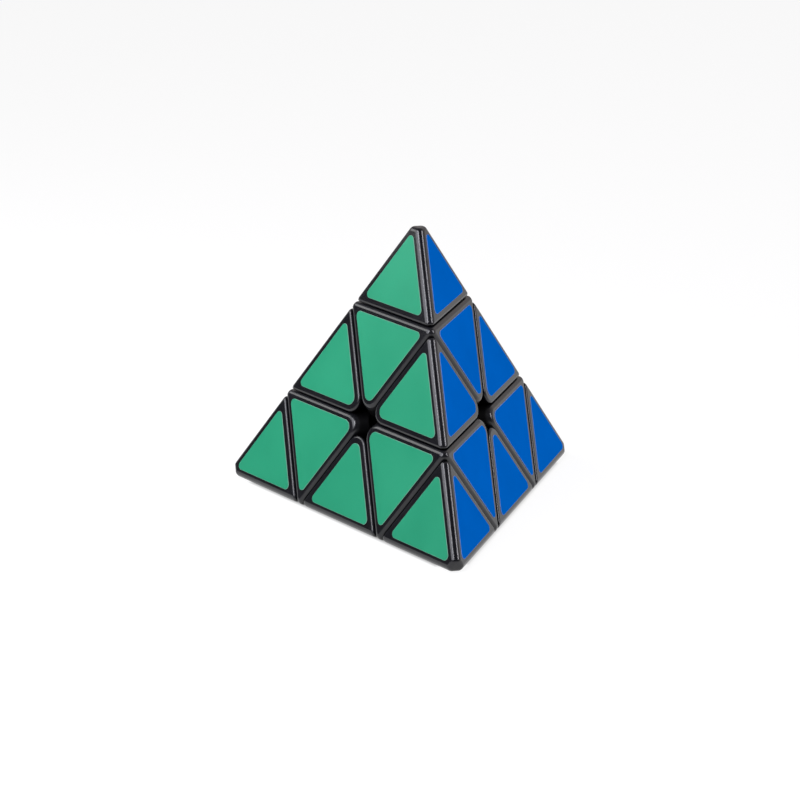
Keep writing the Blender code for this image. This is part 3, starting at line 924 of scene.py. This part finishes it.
# ---- Stage ----
AZIMUTH = math.radians(-10.18)
ELEVATION = math.radians(19.46)
DISTANCE = 0.7957
AIM_RIGHT = -4.83 * MM               # the view's axis passes this far right of the origin
AIM_UP = 7.43 * MM
LENS = 134.2
BACK = Vector((math.sin(AZIMUTH) * math.cos(ELEVATION),
               -math.cos(AZIMUTH) * math.cos(ELEVATION), math.sin(ELEVATION)))
RIGHT = Vector((math.cos(AZIMUTH), math.sin(AZIMUTH), 0))
UP = BACK.cross(RIGHT)
FLOOR_HALF = 3.0
FLOOR_GLOW = 0.88
BLUNT_BASE = 49 * MM                 # the base reaches this far from its middle at a corner; this shapes the painted shadow under it
BRIGHT_SIDE = (0.77, 0.64, 0)
COOL = (0.97, 0.97, 1.05)


def build_camera():
    data = bpy.data.cameras.new("camera")
    data.lens = LENS
    data.sensor_width = 36
    data.clip_start = 0.01
    camera = bpy.data.objects.new("camera", data)
    bpy.context.scene.collection.objects.link(camera)
    turn = Matrix((RIGHT, UP, BACK)).transposed().to_4x4()
    place_at = AIM_RIGHT * RIGHT + AIM_UP * UP + DISTANCE * BACK
    camera.matrix_world = Matrix.Translation(place_at) @ turn
    bpy.context.scene.camera = camera


def softbox(name, direction, distance, width, height, radiance, tint=(1, 1, 1)):
    """A soft rectangle of even light that faces the object."""
    data = bpy.data.lights.new(name, "AREA")
    data.shape = "RECTANGLE"
    data.size = width
    data.size_y = height
    data.energy = radiance * math.pi * width * height
    data.color = tint
    light = bpy.data.objects.new(name, data)
    bpy.context.scene.collection.objects.link(light)
    towards = Vector(direction).normalized()
    light.matrix_world = Matrix.Translation(towards * distance) @ turn_to(towards)
    light.visible_camera = False


def build_floor():
    """Plain glowing paper with a painted shadow: it is dark under the puzzle, so the base rims
    don't shine.
    """
    bm = bmesh.new()
    bmesh.ops.create_grid(bm, x_segments=1, y_segments=1, size=FLOOR_HALF)
    mesh = bpy.data.meshes.new("floor")
    bm.to_mesh(mesh)
    bm.free()
    floor = bpy.data.objects.new("floor", mesh)
    bpy.context.scene.collection.objects.link(floor)
    floor.location.z = CAD_BOX[0][2] - 0.02 * MM
    surface = bpy.data.materials.new("floor_paper")
    surface.use_nodes = True
    shader = surface.node_tree.nodes["Principled BSDF"]
    shader.inputs["Base Color"].default_value = (0.15, 0.15, 0.15, 1)
    shader.inputs["Roughness"].default_value = 0.9
    shader.inputs["Specular IOR Level"].default_value = 0.0
    shader.inputs["Emission Color"].default_value = (1, 1, 1, 1)
    nodes = Nodes(surface.node_tree)
    point = nodes.node("ShaderNodeTexCoord").outputs["Object"]
    # painted shadow: the floor's light fades out in a blunt triangle under the puzzle's base
    reach = nodes.math("MULTIPLY", nodes.length(point), FACELET / BLUNT_BASE)
    for name in others("top"):
        outward = (-DIRECTION[name]).to_2d().normalized().to_3d()
        reach = nodes.math("MAXIMUM", reach, nodes.along(point, outward))
    glow_with_painted_shadow = nodes.spread(reach, 0, FLOOR_GLOW, FACELET - 3.0 * MM, FACELET - 0.5 * MM)
    nodes.link(glow_with_painted_shadow, shader.inputs["Emission Strength"])
    mesh.materials.append(surface)


def build_world():
    """A pale surround behind on the right, dark elsewhere, so that the left faces stay black."""
    world = bpy.data.worlds.new("surround")
    bpy.context.scene.world = world
    world.use_nodes = True
    nodes = Nodes(world.node_tree)
    direction = nodes.node("ShaderNodeTexCoord").outputs["Generated"]
    bright = nodes.along(direction, BRIGHT_SIDE)
    strength = nodes.spread(bright, 0.04, 0.68, start=-0.1, end=0.85, kind="SMOOTHSTEP")
    background = world.node_tree.nodes["Background"]
    nodes.link(strength, background.inputs["Strength"])
    background.inputs["Color"].default_value = (1.0, 0.93, 0.92, 1)


GUIDES = bpy.data.collections.new("guides")
bpy.context.scene.collection.children.link(GUIDES)
PIECES = bpy.data.collections.new("pieces")
bpy.context.scene.collection.children.link(PIECES)

PLASTIC = black_abs()
build_corners(PLASTIC)
build_edges(PLASTIC)
build_stickers()
place("core_spider", core_mesh(), Matrix.Identity(4), core_nylon())
for leftover in list(GUIDES.objects):
    bpy.data.objects.remove(leftover, do_unlink=True)
bpy.data.collections.remove(GUIDES)

build_camera()
build_floor()
build_world()
softbox("left_softbox", (-0.66, -0.32, 0.68), distance=0.30, width=0.24, height=0.27,
        radiance=4.0, tint=COOL)
softbox("left_strip", (-0.42, -0.55, 0.72), distance=1.0, width=0.10, height=0.50,
        radiance=19.0, tint=COOL)
softbox("right_softbox", (0.68, -0.42, 0.60), distance=1.0, width=0.16, height=0.50,
        radiance=15.0, tint=(0.99, 0.97, 1.04))
softbox("back_softbox", (-0.76, 0.34, 0.55), distance=0.4, width=0.20, height=0.20,
        radiance=3.8)
bpy.context.scene.view_settings.view_transform = "Standard"
